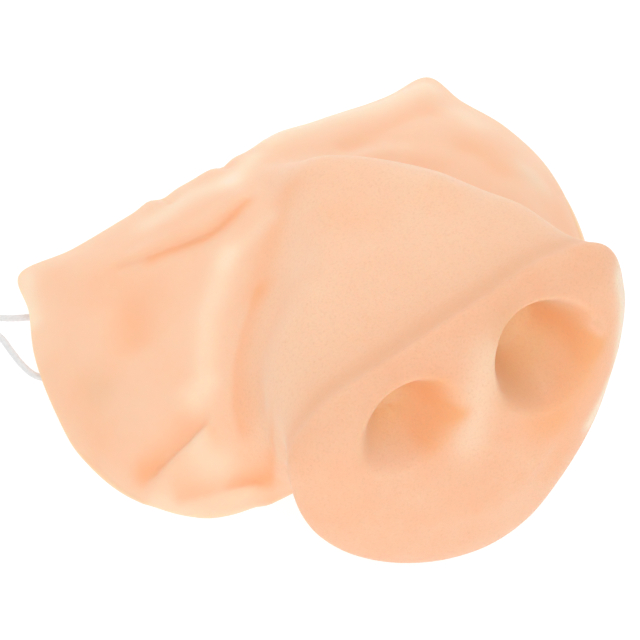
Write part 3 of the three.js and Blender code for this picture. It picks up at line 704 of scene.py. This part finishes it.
def span(value, low, high, to_high=1.0):
    """Value stretched so that low to high becomes 0 to to_high."""
    node = nodes.new("ShaderNodeMapRange")
    links.new(value, node.inputs["Value"])
    node.inputs["From Min"].default_value = low
    node.inputs["From Max"].default_value = high
    node.inputs["To Max"].default_value = to_high
    return node.outputs["Result"]


def product(first, second):
    """Two values multiplied."""
    node = nodes.new("ShaderNodeMath")
    node.operation = "MULTIPLY"
    links.new(first, node.inputs[0])
    links.new(second, node.inputs[1])
    return node.outputs["Value"]


place = nodes.new("ShaderNodeTexCoord")
cloud = nodes.new("ShaderNodeTexNoise")
cloud.inputs["Scale"].default_value = 55.0
cloud.inputs["Detail"].default_value = 7.0
cloud.inputs["Roughness"].default_value = 0.62
links.new(place.outputs["Object"], cloud.inputs["Vector"])
pores = nodes.new("ShaderNodeTexNoise")
pores.inputs["Scale"].default_value = 1900.0
pores.inputs["Detail"].default_value = 4.0
links.new(place.outputs["Object"], pores.inputs["Vector"])

moulded = mix_colours(field_node("disc"), LATEX, DISC_LATEX)
clouded = mix_colours(span(cloud.outputs["Fac"], 0.35, 0.7, CLOUD_TINT), moulded, LATEX_PALE_AND_HIGHLIGHT)
# Painted highlights pale and whiten the latex, and painted shade and deeper tones turn it orange
paled_and_highlighted = mix_colours(span(field_node("shade_highlight_tone"), 0.0, PALE_TONE_AND_HIGHLIGHT), clouded, LATEX_PALE_AND_HIGHLIGHT)
white_highlighted = mix_colours(span(field_node("shade_highlight_tone"), PALE_TONE_AND_HIGHLIGHT, WHITE_HIGHLIGHT), paled_and_highlighted, LATEX_WHITE_HIGHLIGHT)
deepened_and_shaded = mix_colours(span(field_node("shade_highlight_tone"), 0.0, DEEP_ORANGE), white_highlighted, LATEX_DEEP_TONE_AND_SHADE)
# The groove's darker tan, partly airbrushed tone and partly painted shade
shadowed = mix_colours(span(field_node("groove"), 0.0, 1.0, GROOVE_TONE_AND_SHADE_AMOUNT), deepened_and_shaded, GROOVE_TONE_AND_SHADE)
# Painted shade and painted light through the walls inside the nostrils
depth_shaded = mix_colours(span(field_node("nostril"), 0.1, 0.7), shadowed, NOSTRIL_DEPTH_SHADE)
wall_shaded = mix_colours(span(field_node("nostril_glow_and_shade"), 0.0, WALL_SHADE), depth_shaded, NOSTRIL_SHADE_BROWN)
glowing = mix_colours(span(field_node("nostril_glow_and_shade"), 0.0, WALL_GLOWING), wall_shaded, NOSTRIL_GLOW_ORANGE)
specks = product(span(pores.outputs["Fac"], 0.5, 0.8, SPECK_TINT), field_node("grain"))
links.new(mix_colours(specks, glowing, SPECK), shader.inputs["Base Color"])
pore_bump = nodes.new("ShaderNodeBump")
pore_bump.inputs["Strength"].default_value = 0.35
pore_bump.inputs["Distance"].default_value = 0.0003
links.new(product(pores.outputs["Fac"], field_node("grain")), pore_bump.inputs["Height"])
links.new(pore_bump.outputs["Normal"], shader.inputs["Normal"])
skin.data.materials.append(latex_finish)

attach(skin, "root")
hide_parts("snout_shell")

# Elastic patches: two rounded tabs cut from the same latex, glued inside the wings over the ends of the
# elastic. Their edges are soft, and the glue leaves them a little darker than the skin.
PATCH_EDGE = 0.5 * MM
PATCH_EDGE_STEPS = 3
PATCH_FLAT = math.radians(2)
PATCH_SHARP = math.radians(50)
SAME_POINT = 1e-6
PATCH_LATEX = (0.940, 0.500, 0.300, 1.0)
PATCH_WORN = (0.960, 0.600, 0.410, 1.0)
patch_finish = bpy.data.materials.new("patch_latex")
patch_finish.use_nodes = True
nodes, links = patch_finish.node_tree.nodes, patch_finish.node_tree.links
shader = nodes["Principled BSDF"]
shader.inputs["Roughness"].default_value = 0.6
shader.inputs["Specular IOR Level"].default_value = 0.3
shader.inputs["Subsurface Weight"].default_value = 0.2
shader.inputs["Subsurface Radius"].default_value = LATEX_GLOW_REACH
shader.inputs["Subsurface Scale"].default_value = 0.002
place = nodes.new("ShaderNodeTexCoord")
smear = nodes.new("ShaderNodeTexNoise")
smear.inputs["Scale"].default_value = 420.0
smear.inputs["Detail"].default_value = 4.0
links.new(place.outputs["Object"], smear.inputs["Vector"])
smeared = mix_colours(span(smear.outputs["Fac"], 0.35, 0.7), PATCH_LATEX, PATCH_WORN)
links.new(smeared, shader.inputs["Base Color"])
smear_bump = nodes.new("ShaderNodeBump")
smear_bump.inputs["Strength"].default_value = 0.3
smear_bump.inputs["Distance"].default_value = 0.0002
links.new(smear.outputs["Fac"], smear_bump.inputs["Height"])
links.new(smear_bump.outputs["Normal"], shader.inputs["Normal"])
for patch_name, tab_name in (("near_patch", "elastic_tab_left"), ("far_patch", "elastic_tab_right")):
    shape = bmesh.new()
    shape.from_mesh(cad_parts[tab_name].data)
    bmesh.ops.remove_doubles(shape, verts=shape.verts, dist=SAME_POINT)
    bmesh.ops.dissolve_limit(shape, angle_limit=PATCH_FLAT, verts=shape.verts, edges=shape.edges)
    sharp = [edge for edge in shape.edges if edge.calc_face_angle() > PATCH_SHARP]
    bmesh.ops.bevel(
        shape, geom=sharp, offset=PATCH_EDGE, segments=PATCH_EDGE_STEPS, profile=0.5, affect="EDGES",
    )
    bmesh.ops.triangulate(shape, faces=shape.faces)
    patch_mesh = bpy.data.meshes.new(patch_name)
    shape.to_mesh(patch_mesh)
    shape.free()
    patch_mesh.shade_smooth()
    patch_mesh.materials.append(patch_finish)
    patch = bpy.data.objects.new(patch_name, patch_mesh)
    bpy.context.scene.collection.objects.link(patch)
    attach(patch, "root")
    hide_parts(tab_name)
